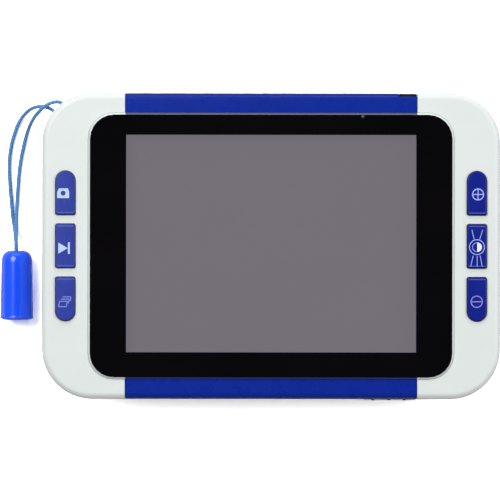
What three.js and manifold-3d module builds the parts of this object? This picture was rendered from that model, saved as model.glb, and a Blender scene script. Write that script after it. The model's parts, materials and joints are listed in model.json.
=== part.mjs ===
// A handheld video magnifier with a 3.5 inch screen, lying on its back.
// Millimetres. +X runs to the right of the screen, +Y up the screen, +Z out of the screen.
// The origin is on the table, under the middle of the body.
import * as THREE from 'three';
import { mergeVertices } from 'three/addons/utils/BufferGeometryUtils.js';
import Module from 'manifold-3d';

const wasm = await Module();
wasm.setup();

// ---------- Driving dimensions ----------

const BODY = { width: 111, height: 74.1, corner: 12.1, back: 0.8, front: 18.6, split: 10 };
const FILLET = { front: 1.6, back: 4 };
const WALL = 2.2;            // side walls of the two shells
const FRONT_PLATE = 2;       // wall behind the white front
const BACK_PLATE = 2.4;      // wall above the table
const BELT = { half: 35.25, thick: 1.2 };   // the blue belt that wraps the middle of the body
const FIT = 0.1;             // clearance round a fitted piece
const SEAM = 0.05;           // half of the gap between two pieces that meet face to face
const PAST = 5;              // how far a cutter runs past the solid that it cuts

const WINDOW = { width: 88.5, height: 64.4, corner: 6.3, thick: 1.2, proud: 0.5, bevel: 0.5 };
const SCREEN = { width: 70.08, height: 52.56, y: 0.6 };     // a 3.5 inch 4:3 picture
const LCD = { width: 76.9, height: 63.9, y: -1.2, back: 12.4, front: 15.6, tray: 0.4 };
const BOARD = { half: 37, bottom: -31.5, top: 33.3, back: 10.6, front: 11.6 };

const KEY = {
  x: 49.7, pitch: 12.82, width: 4.8, length: 10.7, corner: 0.5,
  top: 19.3, lip: 0.6, bevel: 0.35, gap: 0.1, stem: 1.1,
};
const KEY_BOARD = { x: 48.9, width: 8.4, length: 42, back: 11.8, front: 12.8 };
const POWER = { x: -27.5, z: 13.4, length: 11.4, height: 3.4, proud: 0.05, lip: 0.6 };
const JACK = {
  x: 33.05, z: 9.3, width: 4.2, bodyWidth: 5.8, hole: 1.8,
  low: 6.3, faceTop: 17, neckTop: 16.3, bodyTop: 11.8, notch: 0.9,
};
const INDICATOR = { x: 22.1, y: 31.35, radius: 0.6 };

const FLAP = { x: 28.95, width: 12.6, low: 6, high: 13.2, proud: 0.55, nub: 0.2, pinY: -37, pinZ: 6.5 };
const USB = { x: 28.95, width: 8, face: -34.6, depth: 6.2, low: 7.75, high: 10.55, wall: 0.4 };

const BATTERY = { x: -6.5, y: -16.8, width: 53, height: 33, low: 2.6, high: 7.8 };
const BAY = { left: -33.6, right: 20.6, bottom: -33.9, top: 0.3, roof: 8.2, wall: 1.2 };
const CONTACTS = { y: -16, width: 8, depth: 3.6, low: 3.4, high: 7.4 };
const DOOR = { top: 1.4, lip: 5, rib: 0.5, ribLow: 1.5, ribHigh: 2, ribStart: -33 };
const GRIP = { ridges: 5, y: -5, pitch: 1.8, length: 16, taper: 1.6, width: 0.8, proud: 0.3 };

const CAMERA = {
  y: 16, barrel: 4, holder: 11, sensor: 13, board: 26,
  windowRadius: 6.7, ledOffset: 9, ledRadius: 1.5,
};
const SPEAKER = { x: -22, y: 20, radius: 7, holeRing: 4, holeRadius: 0.6 };

const POST = {
  radius: 1.6,
  underBoard: [[-34, 6], [34, 6], [-34, 30], [26, 30]],
  overBay: [[-30, -29], [16, -29]],
  keyBoardY: 18,
};
const SCREW = { x: 46, y: 27.5, head: 2.2, shank: 1.1, boss: 3.2, seat: 3.4, top: 14.5 };
const FOOT = { x: 45.5, y: 12, radius: 3.7, sunk: 0.4 };

const EYE = { angles: [126, 140], z: 7, radius: 1 };        // strap holes in the top left corner
const CORD_RADIUS = 0.5;
const CAP = {
  x: -62.75, y: -1.15, z: 4.16,
  length: 17, top: 3.84, bottom: 4.14,
  bore: 1.6, boreDepth: 2.6,
};

const halfWidth = BODY.width / 2;
const halfHeight = BODY.height / 2;
const plateBack = BODY.front - FRONT_PLATE;
const floorTop = BODY.back + BACK_PLATE;
const windowSeat = BODY.front + WINDOW.proud - WINDOW.thick;
const cornerCentre = [-(halfWidth - BODY.corner), halfHeight - BODY.corner];
const keyRows = [KEY.pitch, 0, -KEY.pitch];

// ---------- Solids ----------

// A closed three.js geometry as a solid that can be joined and cut.
function solid(geometry) {
  const bare = geometry.clone();
  bare.deleteAttribute('normal');
  bare.deleteAttribute('uv');
  const merged = mergeVertices(bare);
  return new wasm.Manifold(new wasm.Mesh({
    numProp: 3,
    vertProperties: new Float32Array(merged.attributes.position.array),
    triVerts: new Uint32Array(merged.index.array),
  }));
}

function geometryOf(shape) {
  const mesh = shape.getMesh();
  const geometry = new THREE.BufferGeometry();
  geometry.setAttribute('position', new THREE.BufferAttribute(mesh.vertProperties, 3));
  geometry.setIndex(new THREE.BufferAttribute(mesh.triVerts, 1));
  geometry.computeVertexNormals();
  return geometry;
}

function joined(first, ...others) {
  return others.reduce((whole, other) => whole.add(other), first);
}

function cut(first, ...others) {
  return others.reduce((whole, other) => whole.subtract(other), first);
}

// A box given by its range along X, Y and Z.
function block([x0, x1], [y0, y1], [z0, z1]) {
  const geometry = new THREE.BoxGeometry(x1 - x0, y1 - y0, z1 - z0);
  return solid(geometry.translate((x0 + x1) / 2, (y0 + y1) / 2, (z0 + z1) / 2));
}

// A range of one width round a middle.
function around(middle, width) {
  return [middle - width / 2, middle + width / 2];
}

// A box of one width round a centre in X and Y.
function pad(x, y, width, height, zRange) {
  return block(around(x, width), around(y, height), zRange);
}

// A round rod that stands along Z.
function rod(x, y, radius, [z0, z1], sides = 12) {
  const geometry = new THREE.CylinderGeometry(radius, radius, z1 - z0, sides);
  return solid(geometry.rotateX(Math.PI / 2).translate(x, y, (z0 + z1) / 2));
}

// A round rod that lies along Y.
function rodAlongY(x, z, radius, [y0, y1], sides = 16) {
  const geometry = new THREE.CylinderGeometry(radius, radius, y1 - y0, sides);
  return solid(geometry.translate(x, (y0 + y1) / 2, z));
}

// A solid turned about Z, from [radius, height] pairs that run upwards.
function turned(profile, sides) {
  const geometry = new THREE.LatheGeometry(profile.map(([r, h]) => new THREE.Vector2(r, h)), sides);
  return solid(geometry.rotateX(Math.PI / 2));
}

function roundedRectangle(width, height, radius) {
  const shape = new THREE.Shape();
  const right = width / 2 - radius;
  const top = height / 2 - radius;
  shape.absarc(right, top, radius, 0, Math.PI / 2);
  shape.absarc(-right, top, radius, Math.PI / 2, Math.PI);
  shape.absarc(-right, -top, radius, Math.PI, Math.PI * 1.5);
  shape.absarc(right, -top, radius, Math.PI * 1.5, Math.PI * 2);
  shape.closePath();
  return shape;
}

// A shape in the XY plane, raised from z0 to z1. With a fillet, both of its ends are rounded.
function raised(shape, [z0, z1], { fillet = 0, filletSteps = 3, arcSteps = 3 } = {}) {
  const geometry = new THREE.ExtrudeGeometry(shape, {
    depth: z1 - z0 - 2 * fillet,
    bevelEnabled: fillet > 0,
    bevelThickness: fillet,
    bevelSize: fillet,
    bevelOffset: -fillet,
    bevelSegments: filletSteps,
    curveSegments: arcSteps,
  });
  return solid(geometry.translate(0, 0, z0 + fillet));
}

// The whole body without its openings, drawn in by an inset on every side.
function bodyBlock(inset, [low, high]) {
  const outline = roundedRectangle(
    BODY.width - 2 * inset,
    BODY.height - 2 * inset,
    BODY.corner - inset,
  );
  const back = BODY.back + inset;
  const front = BODY.front - inset;
  const lower = raised(outline, [back, BODY.split + 2 * FILLET.back], {
    fillet: FILLET.back - inset,
    filletSteps: 5,
    arcSteps: 6,
  });
  const upper = raised(outline, [BODY.split - 2 * FILLET.front, front], {
    fillet: FILLET.front - inset,
    filletSteps: 5,
    arcSteps: 6,
  });
  const wide = [-BODY.width, BODY.width];
  const lowerHalf = lower.intersect(block(wide, wide, [low, BODY.split]));
  const upperHalf = upper.intersect(block(wide, wide, [BODY.split, high]));
  return lowerHalf.add(upperHalf);
}

const OUTSIDE = [BODY.back - PAST, BODY.front + PAST];

// The blue belt as a closed band round the middle of the body.
function beltBand(halfLength, thickness) {
  const span = block([-halfLength, halfLength], [-BODY.height, BODY.height], OUTSIDE);
  const band = bodyBlock(0, OUTSIDE).intersect(span);
  return band.subtract(bodyBlock(thickness, OUTSIDE));
}

// What the shells lose so that the belt lies flush in them.
function beltSeat() {
  const length = BELT.half + FIT;
  const span = block([-length, length], [-BODY.height, BODY.height], OUTSIDE);
  const seat = span.subtract(bodyBlock(BELT.thick + FIT, OUTSIDE));
  const underWindow = block(
    [-halfWidth, halfWidth],
    [-WINDOW.height / 2, WINDOW.height / 2],
    [BODY.split, BODY.front + PAST],
  );
  return seat.subtract(underWindow);
}

// ---------- Key shapes ----------

// One key's outline. Its top or bottom end may be fully round; other corners are nearly square.
function keyOutline(end, grow) {
  const half = KEY.width / 2 + grow;
  const reach = KEY.length / 2 + grow;
  const small = KEY.corner + grow;
  const topRadius = end === 'top' ? half : small;
  const bottomRadius = end === 'bottom' ? half : small;
  const shape = new THREE.Shape();
  shape.absarc(half - topRadius, reach - topRadius, topRadius, 0, Math.PI / 2);
  shape.absarc(topRadius - half, reach - topRadius, topRadius, Math.PI / 2, Math.PI);
  shape.absarc(bottomRadius - half, bottomRadius - reach, bottomRadius, Math.PI, Math.PI * 1.5);
  shape.absarc(half - bottomRadius, bottomRadius - reach, bottomRadius, Math.PI * 1.5, Math.PI * 2);
  shape.closePath();
  return shape;
}

const keyEnds = ['top', 'middle', 'bottom'];

// A key with its lip under the front plate and its stem over the switch. Its own origin is at its top.
function keySolid(end) {
  const lipTop = plateBack - SEAM - KEY.top;
  const lipBottom = lipTop - KEY.lip;
  const cap = raised(keyOutline(end, 0), [lipBottom, 0], {
    fillet: KEY.bevel,
    filletSteps: 1,
  });
  const lip = raised(keyOutline(end, KEY.lip), [lipBottom, lipTop]);
  const stem = rod(0, 0, 1, [lipBottom - KEY.stem, lipBottom + 0.5]);
  return joined(cap, lip, stem);
}

function keyHole(side, row) {
  const hole = raised(keyOutline(keyEnds[row], KEY.gap), [0, FRONT_PLATE + 2]);
  return hole.translate([side * KEY.x, keyRows[row], plateBack - 1]);
}

// ---------- Casing ----------

// Four places, one in each quarter round a centre.
function fourPlaces(x, y, middleY = 0) {
  const places = [];
  for (const dy of [-y, y]) {
    for (const dx of [-x, x]) {
      places.push([dx, middleY + dy]);
    }
  }
  return places;
}

const screws = fourPlaces(SCREW.x, SCREW.y);
const feet = fourPlaces(FOOT.x, FOOT.y);
const leds = fourPlaces(CAMERA.ledOffset, CAMERA.ledOffset, CAMERA.y);
const keyBoardPosts = fourPlaces(KEY_BOARD.x, POST.keyBoardY);

// Round posts that carry the circuit boards, each from a surface up to a board.
function boardPosts() {
  const post = ([x, y], low, board) => rod(x, y, POST.radius, [low, board.back - SEAM], 10);
  return [
    ...POST.underBoard.map((spot) => post(spot, floorTop - 0.5, BOARD)),
    ...POST.overBay.map((spot) => post(spot, BAY.roof + 0.5, BOARD)),
    ...keyBoardPosts.map((spot) => post(spot, floorTop - 0.5, KEY_BOARD)),
  ];
}

// Holes round the speaker's middle, through the belt and the back plate.
function speakerHoles() {
  const holes = [rod(SPEAKER.x, SPEAKER.y, SPEAKER.holeRadius, [-1, floorTop + 1], 8)];
  for (let i = 0; i < 6; i += 1) {
    const angle = (i * Math.PI) / 3;
    const x = SPEAKER.x + SPEAKER.holeRing * Math.cos(angle);
    const y = SPEAKER.y + SPEAKER.holeRing * Math.sin(angle);
    holes.push(rod(x, y, SPEAKER.holeRadius, [-1, floorTop + 1], 8));
  }
  return holes;
}

function ledHoles(radius) {
  return leds.map(([x, y]) => rod(x, y, radius, [-1, floorTop + 1]));
}

// The slot in the side walls and the belt where the power button goes through.
function powerSlot() {
  const length = POWER.length + 0.4;
  const height = POWER.height + 0.4;
  const outline = roundedRectangle(length, height, height / 2 - 0.4);
  const slot = raised(outline, [0, WALL + PAST]);
  return slot.rotate([-90, 0, 0]).translate([POWER.x, halfHeight - WALL - 1, POWER.z]);
}

// The notch at the right end of the belt's top edge, open to the front, where the audio jack looks out.
function jackNotch() {
  const left = JACK.x - JACK.width / 2 - 0.15;
  return block(
    [left, BELT.half + PAST],
    [halfHeight - JACK.notch, halfHeight + 1],
    [JACK.low - 0.3, BODY.front + 1],
  );
}

function jackHole() {
  return block(
    around(JACK.x, JACK.width + 0.3),
    [halfHeight - WALL - 1, halfHeight + 1],
    [JACK.low - 0.3, JACK.faceTop + 0.3],
  );
}

// The recess at the right end of the belt's bottom edge, where the rubber flap lies.
function flapRecess() {
  const left = FLAP.x - FLAP.width / 2 - FIT;
  const depth = [-halfHeight - 1, -halfHeight + BELT.thick + SEAM];
  return block([left, BELT.half + PAST], depth, [FLAP.low - 0.4, FLAP.high + FIT]);
}

function usbHole() {
  return block(
    around(USB.x, USB.width + 0.6),
    [-halfHeight - 1, -halfHeight + WALL + 1],
    [USB.low - 0.35, USB.high + 0.35],
  );
}

function strapHoles() {
  return EYE.angles.map((degrees) => {
    const drill = new THREE.CylinderGeometry(EYE.radius, EYE.radius, 6, 12);
    drill.rotateZ(-Math.PI / 2).translate(BODY.corner - 1, 0, 0).rotateZ((degrees * Math.PI) / 180);
    return solid(drill.translate(cornerCentre[0], cornerCentre[1], EYE.z));
  });
}

function frontShell() {
  const outer = bodyBlock(0, [BODY.split + SEAM, BODY.front + PAST]);
  const inside = roundedRectangle(BODY.width - 2 * WALL, BODY.height - 2 * WALL, BODY.corner - WALL);
  const cavity = raised(inside, [BODY.split - 1, plateBack]);
  const seat = roundedRectangle(
    WINDOW.width + 2 * SEAM,
    WINDOW.height + 2 * SEAM,
    WINDOW.corner + SEAM,
  );
  const windowRecess = raised(seat, [windowSeat - SEAM, BODY.front + PAST]);
  const view = pad(0, SCREEN.y, SCREEN.width + 2, SCREEN.height + 2, [plateBack - 1, BODY.front]);
  const lightHole = rod(INDICATOR.x, INDICATOR.y, INDICATOR.radius + FIT, [plateBack - 1, BODY.front]);
  const keyHoles = [-1, 1].flatMap((side) => keyRows.map((_, row) => keyHole(side, row)));
  const bossRange = [BODY.split + SEAM, plateBack + 0.5];
  const pilotRange = [BODY.split - 1, SCREW.top + 0.6];
  const bosses = screws.map(([x, y]) => rod(x, y, SCREW.boss, bossRange));
  const pilots = screws.map(([x, y]) => rod(x, y, SCREW.shank + 0.2, pilotRange));
  const body = cut(outer, cavity, beltSeat(), windowRecess, view, lightHole, ...keyHoles);
  const opened = cut(body, powerSlot(), jackHole(), usbHole());
  return cut(joined(opened, ...bosses), ...pilots);
}

function rearShell() {
  const outer = bodyBlock(0, [BODY.back - PAST, BODY.split - SEAM]);
  const inside = roundedRectangle(BODY.width - 2 * WALL, BODY.height - 2 * WALL, BODY.corner - WALL);
  const cavity = raised(inside, [floorTop, BODY.split + PAST], { fillet: 2, filletSteps: 1 });
  const bayWalls = block(
    [BAY.left - BAY.wall, BAY.right + BAY.wall],
    [BAY.bottom - BAY.wall, BAY.top + BAY.wall],
    [floorTop - 0.5, BAY.roof + BAY.wall],
  );
  const bay = block([BAY.left, BAY.right], [BAY.bottom, BAY.top], [-1, BAY.roof]);
  const contactNotch = block(
    [BAY.right - 1, BAY.right + BAY.wall + 1],
    around(CONTACTS.y, CONTACTS.width + 0.4),
    [CONTACTS.low - 0.1, CONTACTS.high + 0.1],
  );
  const grooveMiddle = BELT.half + (DOOR.rib + 0.3) / 2;
  const grooves = [-1, 1].map((side) => block(
    around(side * grooveMiddle, DOOR.rib + 0.3),
    [-BODY.height, DOOR.top + 0.1],
    [DOOR.ribLow - 0.15, DOOR.ribHigh + 0.15],
  ));
  const lensHole = rod(0, CAMERA.y, 5, [-1, floorTop + 1], 20);
  const footSeats = feet.map(([x, y]) => (
    rod(x, y, FOOT.radius + 0.2, [-1, BODY.back + FOOT.sunk + SEAM], 16)
  ));
  const bosses = screws.map(([x, y]) => rod(x, y, SCREW.boss, [floorTop - 0.5, BODY.split - SEAM]));
  const headHoles = screws.map(([x, y]) => rod(x, y, SCREW.head + 0.4, [-1, SCREW.seat]));
  const shankHoles = screws.map(([x, y]) => rod(x, y, SCREW.shank + 0.3, [0, BODY.split + 1]));
  const hollow = joined(cut(outer, cavity), bayWalls, ...boardPosts(), ...bosses);
  const opened = cut(hollow, bay, contactNotch, ...grooves, beltSeat(), jackHole(), usbHole());
  const drilled = cut(opened, lensHole, ...ledHoles(CAMERA.ledRadius + 0.2), ...speakerHoles());
  return cut(drilled, ...footSeats, ...headHoles, ...shankHoles, ...strapHoles());
}

// ---------- Belt pieces ----------

const belt = beltBand(BELT.half, BELT.thick);
const beltEdge = WINDOW.height / 2 + SEAM;
const across = [-BODY.width, BODY.width];

function topTrim() {
  const span = block(across, [beltEdge, BODY.height], [BODY.split + SEAM, BODY.front + 1]);
  return cut(belt.intersect(span), powerSlot(), jackNotch(), jackHole());
}

function bottomTrim() {
  const span = block(across, [-BODY.height, -beltEdge], [DOOR.lip + FIT, BODY.front + 1]);
  return cut(belt.intersect(span), flapRecess());
}

function rearCentrePanel() {
  const span = block(across, [DOOR.top + 0.2, BODY.height], [-1, BODY.split - SEAM]);
  const lensHole = rod(0, CAMERA.y, CAMERA.windowRadius + 0.15, [-1, floorTop], 32);
  const lampHoles = ledHoles(CAMERA.ledRadius + 0.2);
  return cut(belt.intersect(span), lensHole, ...lampHoles, ...speakerHoles(), jackNotch(), jackHole());
}

// The door slides on a rib at each side and has a few ridges for the thumb.
function batteryDoor() {
  const piece = belt.intersect(block(across, [-BODY.height, DOOR.top], [-1, DOOR.lip]));
  const ribs = [-1, 1].map((side) => block(
    around(side * BELT.half, 2 * DOOR.rib),
    [DOOR.ribStart, DOOR.top],
    [DOOR.ribLow, DOOR.ribHigh],
  ));
  const ridges = [];
  for (let i = 0; i < GRIP.ridges; i += 1) {
    const length = GRIP.length - GRIP.taper * i;
    ridges.push(pad(0, GRIP.y - GRIP.pitch * i, length, GRIP.width, around(BODY.back, 2 * GRIP.proud)));
  }
  return joined(piece, ...ribs, ...ridges);
}

// ---------- Side pieces ----------

// The power button: a bar with a lip behind the wall. Its own origin is at the middle of its outer face.
function powerButton() {
  const outline = roundedRectangle(POWER.length, POWER.height, POWER.height / 2 - 0.4);
  const lipFace = -(POWER.proud + WALL + 0.2);
  const bar = raised(outline, [lipFace - 0.6, 0], { fillet: 0.3, filletSteps: 1 });
  const lipLength = POWER.length + 2 * POWER.lip;
  const lipHeight = POWER.height + 2 * POWER.lip;
  const lip = pad(0, 0, lipLength, lipHeight, [lipFace - 0.65, lipFace]);
  return joined(bar, lip).rotate([-90, 0, 0]);
}

// The rubber flap over the charging socket. Its own origin is on its hinge line.
function portFlap() {
  const outer = -halfHeight - FLAP.proud;
  const inner = -halfHeight + BELT.thick - 0.1;
  const leaf = block(around(FLAP.x, FLAP.width), [outer + FLAP.nub, inner], [FLAP.low, FLAP.high]);
  const plug = pad(USB.x, inner + 0.45, USB.width - 0.9, 1, [USB.low + 0.25, USB.high - 0.35]);
  const nubs = [-4.05, -0.15, 3.55].map((dx) => (
    block(around(FLAP.x + dx, 0.7), [outer, inner], [FLAP.low + 0.8, FLAP.high - 0.3])
  ));
  return joined(leaf, plug, ...nubs).translate([0, -FLAP.pinY, -FLAP.pinZ]);
}

// ---------- Scene graph ----------

const group = new THREE.Group();

const LOOKS = {
  white: { color: 0xdfe5e3, roughness: 0.45, metalness: 0 },
  belt: { color: 0x1e2e82, roughness: 0.4, metalness: 0 },
  key: { color: 0x3240a0, roughness: 0.4, metalness: 0 },
  panel: { color: 0x070608, roughness: 0.1, metalness: 0 },
  screen: { color: 0x767177, roughness: 0.3, metalness: 0 },
  rubber: { color: 0x22284f, roughness: 0.8, metalness: 0 },
  darkRubber: { color: 0x2b2b2d, roughness: 0.85, metalness: 0 },
  black: { color: 0x151516, roughness: 0.6, metalness: 0 },
  board: { color: 0x1c5a35, roughness: 0.6, metalness: 0 },
  steel: { color: 0xb9bcc0, roughness: 0.3, metalness: 1 },
  lens: { color: 0x9fb4c8, roughness: 0.05, metalness: 0 },
  clear: { color: 0xf4f6f2, roughness: 0.1, metalness: 0 },
  battery: { color: 0xcfd2d4, roughness: 0.5, metalness: 0 },
  cord: { color: 0x5a62b0, roughness: 0.8, metalness: 0 },
  cap: { color: 0x2c56f0, roughness: 0.25, metalness: 0 },
};

function place(name, look, shape, [x, y, z] = [0, 0, 0]) {
  const geometry = shape.isBufferGeometry ? shape : geometryOf(shape);
  const mesh = new THREE.Mesh(geometry, new THREE.MeshStandardMaterial(LOOKS[look]));
  mesh.name = name;
  mesh.position.set(x, y, z);
  group.add(mesh);
  return mesh;
}

// Casing and belt
place('front_shell', 'white', frontShell());
place('rear_shell', 'white', rearShell());
place('top_trim', 'belt', topTrim());
place('bottom_trim', 'belt', bottomTrim());
place('rear_centre_panel', 'belt', rearCentrePanel());
place('battery_door', 'belt', batteryDoor());

// Screen stack, from the outside in
const glassOutline = roundedRectangle(WINDOW.width, WINDOW.height, WINDOW.corner);
const glass = raised(glassOutline, [0, WINDOW.thick], { fillet: WINDOW.bevel, filletSteps: 1 });
place('screen_window', 'panel', glass, [0, 0, windowSeat]);

const gasketRange = [LCD.front + SEAM, plateBack - SEAM];
const gasket = cut(
  pad(0, SCREEN.y, SCREEN.width + 5, SCREEN.height + 5, gasketRange),
  pad(0, SCREEN.y, SCREEN.width + 2, SCREEN.height + 2, [LCD.front - 1, plateBack + 1]),
);
place('screen_gasket', 'black', gasket);
place('lcd_panel', 'screen', pad(0, LCD.y, LCD.width, LCD.height, [LCD.back, LCD.front]));

// A sheet metal tray under the panel and round its sides.
const lcdFrame = cut(
  pad(0, LCD.y, LCD.width + 1.1, LCD.height + 1.1, [LCD.back - LCD.tray - SEAM, LCD.front - 0.4]),
  pad(0, LCD.y, LCD.width + 0.2, LCD.height + 0.2, [LCD.back - SEAM, LCD.front + 1]),
);
place('lcd_frame', 'steel', lcdFrame);

// Main board and what stands on it
const boardHeight = BOARD.top - BOARD.bottom;
const boardMiddle = (BOARD.top + BOARD.bottom) / 2;
const mainBoard = cut(
  pad(0, boardMiddle, BOARD.half * 2, boardHeight, [BOARD.back, BOARD.front]),
  block([JACK.x - 3.4, BODY.width], [22.5, BODY.height], OUTSIDE),
);
place('main_board', 'board', mainBoard);

function chip(name, x, y, size, height) {
  const top = BOARD.back - SEAM;
  place(name, 'black', pad(0, 0, size, size, [-height, 0]), [x, y, top]);
}

chip('processor_chip', 20, 12, 12, 1.1);
chip('memory_chip', -18, -8, 8, 0.9);

// Keys, their switches and their boards
const keyNames = {
  '-1': ['snapshot', 'playback', 'gallery'],
  1: ['zoom_in', 'contrast', 'zoom_out'],
};

function keySwitch() {
  const body = pad(0, 0, 4.5, 4.5, [0, 0.95]);
  return joined(body, rod(0, 0, 0.9, [0.5, 1.4], 10));
}

for (const side of [-1, 1]) {
  const board = pad(0, 0, KEY_BOARD.width, KEY_BOARD.length, [0, KEY_BOARD.front - KEY_BOARD.back]);
  const boardName = side < 0 ? 'left_key_board' : 'right_key_board';
  place(boardName, 'board', board, [side * KEY_BOARD.x, 0, KEY_BOARD.back]);
  keyRows.forEach((y, row) => {
    const name = keyNames[side][row];
    place(`${name}_key`, 'key', keySolid(keyEnds[row]), [side * KEY.x, y, KEY.top]);
    place(`${name}_switch`, 'black', keySwitch(), [side * KEY.x, y, KEY_BOARD.front + SEAM]);
  });
}

// Camera, lamps and speaker
const holder = cut(
  pad(0, 0, CAMERA.holder, CAMERA.holder, [0, 3.6]),
  rod(0, 0, CAMERA.barrel + 0.2, [-1, 5], 20),
);
place('camera_holder', 'black', holder, [0, CAMERA.y, 5.25]);

// The lens barrel, with a dished glass in its lower end.
const barrelProfile = [[0, 0.5], [1.8, 0.5], [2.6, 0], [CAMERA.barrel, 0], [CAMERA.barrel, 5.8], [0, 5.8]];
place('camera_lens', 'lens', turned(barrelProfile, 20), [0, CAMERA.y, 2.5]);
place('camera_sensor', 'board', pad(0, 0, CAMERA.sensor, CAMERA.sensor, [0, 0.9]), [0, CAMERA.y, 9]);

const pageWindow = rod(0, 0, CAMERA.windowRadius, [0, 0.9], 32);
place('camera_window', 'clear', pageWindow, [0, CAMERA.y, BODY.back + 0.3]);

const ledBoard = cut(pad(0, 0, CAMERA.board, CAMERA.board, [0, 0.8]), rod(0, 0, 4.7, [-1, 2], 20));
place('led_board', 'board', ledBoard, [0, CAMERA.y, 4.3]);

// A lamp: a round flange with a domed nose that points at the page.
const ledProfile = [
  [0, -3], [0.8, -2.8], [1.3, -2.3], [1.5, -1.6],
  [1.5, -0.4], [1.9, -0.4], [1.9, 0], [0, 0],
];
leds.forEach(([x, y], i) => {
  place(`camera_led_${i + 1}`, 'clear', turned(ledProfile, 12), [x, y, 4.25]);
});

const speaker = rod(0, 0, SPEAKER.radius, [0, 3], 24);
place('speaker', 'black', speaker, [SPEAKER.x, SPEAKER.y, floorTop + SEAM]);

// Battery and its contacts
const battery = raised(
  roundedRectangle(BATTERY.width, BATTERY.height, 1.5),
  [0, BATTERY.high - BATTERY.low],
);
place('battery_pack', 'battery', battery, [BATTERY.x, BATTERY.y, BATTERY.low]);
const contacts = block(
  [BAY.right + SEAM, BAY.right + CONTACTS.depth],
  around(CONTACTS.y, CONTACTS.width),
  [CONTACTS.low, CONTACTS.high],
);
place('battery_contacts', 'black', contacts);

// Charging socket, audio jack, power switch and indicator
const usbRange = [USB.low, USB.high];
const usbShell = block(around(USB.x, USB.width), [USB.face, USB.face + USB.depth], usbRange);
const mouthRange = [USB.low + USB.wall, USB.high - USB.wall];
const usbMouth = pad(USB.x, USB.face, USB.width - 2 * USB.wall, 5, mouthRange);
const usbTongue = block(around(USB.x, 5.2), [USB.face + 0.4, USB.face + 4], [8.8, 9.5]);
place('usb_socket', 'steel', joined(cut(usbShell, usbMouth), usbTongue));

const jackAcross = around(JACK.x, JACK.width);
const jackFace = block(jackAcross, [34.2, halfHeight - 0.1], [JACK.low, JACK.faceTop]);
const jackNeck = block(jackAcross, [31.6, 34.5], [JACK.low, JACK.neckTop]);
const jackBody = block(around(JACK.x, JACK.bodyWidth), [23, 33.5], [JACK.low, JACK.bodyTop]);
const jackBore = rodAlongY(JACK.x, JACK.z, JACK.hole, [26, BODY.height], 20);
place('audio_jack', 'black', cut(joined(jackFace, jackNeck, jackBody), jackBore));

const switchBody = block(around(POWER.x, 6), [31.7, 33], [BOARD.front + SEAM, 15]);
const plunger = rodAlongY(POWER.x, POWER.z, 0.9, [32.5, 33.4], 10);
place('power_switch', 'black', joined(switchBody, plunger));
place('power_button', 'key', powerButton(), [POWER.x, halfHeight + POWER.proud, POWER.z]);
place('port_flap', 'rubber', portFlap(), [0, FLAP.pinY, FLAP.pinZ]);

const pipeHead = rod(INDICATOR.x, INDICATOR.y, INDICATOR.radius, [15.9, windowSeat - 0.1]);
const pipeArm = pad(INDICATOR.x, 32, 1.2, 2.6, [15.8, 16.45]);
const pipeLeg = block(around(INDICATOR.x, 1.2), [32, 33.3], [BOARD.front + 0.2, 16.45]);
place('indicator_light', 'clear', joined(pipeHead, pipeArm, pipeLeg));

// Screws and feet
const screwHead = rod(0, 0, SCREW.head, [-1.3, 0]);
const screwShank = rod(0, 0, SCREW.shank, [-0.5, SCREW.top - SCREW.seat], 8);
const driveSlots = [pad(0, 0, 2.6, 0.6, [-2, -0.7]), pad(0, 0, 0.6, 2.6, [-2, -0.7])];
const screw = cut(joined(screwHead, screwShank), ...driveSlots);
screws.forEach(([x, y], i) => {
  place(`case_screw_${i + 1}`, 'steel', screw, [x, y, SCREW.seat - SEAM]);
});

const footTop = BODY.back + FOOT.sunk;
const footProfile = [
  [0, 0], [FOOT.radius - 0.5, 0], [FOOT.radius, 0.5], [FOOT.radius, footTop], [0, footTop],
];
feet.forEach(([x, y], i) => {
  place(`rubber_foot_${i + 1}`, 'darkRubber', turned(footProfile, 16), [x, y, 0]);
});

// ---------- Wrist strap ----------

// Each strand starts in its own hole of the corner's eye, drops to the table and ends in the cap.
const upperStrand = [
  [-49.2, 32.6, 7], [-49.8, 33.45, 7], [-50.4, 34.2, 7], [-51.1, 34.9, 7.1], [-52, 35.35, 7.3],
  [-53.1, 35.4, 7.6], [-54.7, 34.85, 7.75], [-56.2, 33.9, 7], [-58.1, 32.2, 4.6], [-59.7, 30, 1.9],
  [-60.8, 27.2, 0.75], [-61.6, 24, 0.55], [-62.2, 20.9, 0.55], [-62.6, 17.3, 0.55], [-62.9, 13.3, 0.6],
  [-63, 10.4, 1.05], [-63.05, 8.4, 1.55], [-63.05, 6.4, 1.9], [-63, 4.4, 2.6], [-63, 2.4, 3.6],
  [-62.95, 0.6, 4.4], [-62.95, -1.4, 4.7], [-62.95, -3.4, 4.7],
];
const lowerStrand = [
  [-50.85, 31.05, 7], [-52.15, 32.1, 7], [-53.2, 33, 6.85], [-54.2, 33.7, 6.5], [-55.2, 34.15, 6],
  [-56.4, 34.4, 5.2], [-57.9, 34.4, 3.9], [-59.9, 33.7, 2.1], [-61.6, 32.2, 0.95], [-62.9, 30.1, 0.6],
  [-63.6, 28.1, 0.55], [-64.2, 26.3, 0.55], [-64.9, 22.1, 0.55], [-65, 19.3, 0.55], [-64.8, 15.3, 0.55],
  [-64.4, 10.4, 0.55], [-64, 6.4, 0.6], [-63.6, 4.4, 1.2], [-63.3, 2.4, 2.2], [-63.05, 0.6, 3],
  [-62.95, -1.4, 3.3], [-62.95, -3.4, 3.3],
];

function cord(points) {
  const spots = points.map((point) => new THREE.Vector3(...point));
  const path = new THREE.CatmullRomCurve3(spots, false, 'centripetal');
  const section = new THREE.Shape();
  section.absarc(0, 0, CORD_RADIUS, 0, Math.PI * 2);
  const steps = Math.round(path.getLength() / (2.8 * CORD_RADIUS));
  return solid(new THREE.ExtrudeGeometry(section, { extrudePath: path, steps, curveSegments: 4 }));
}

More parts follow.
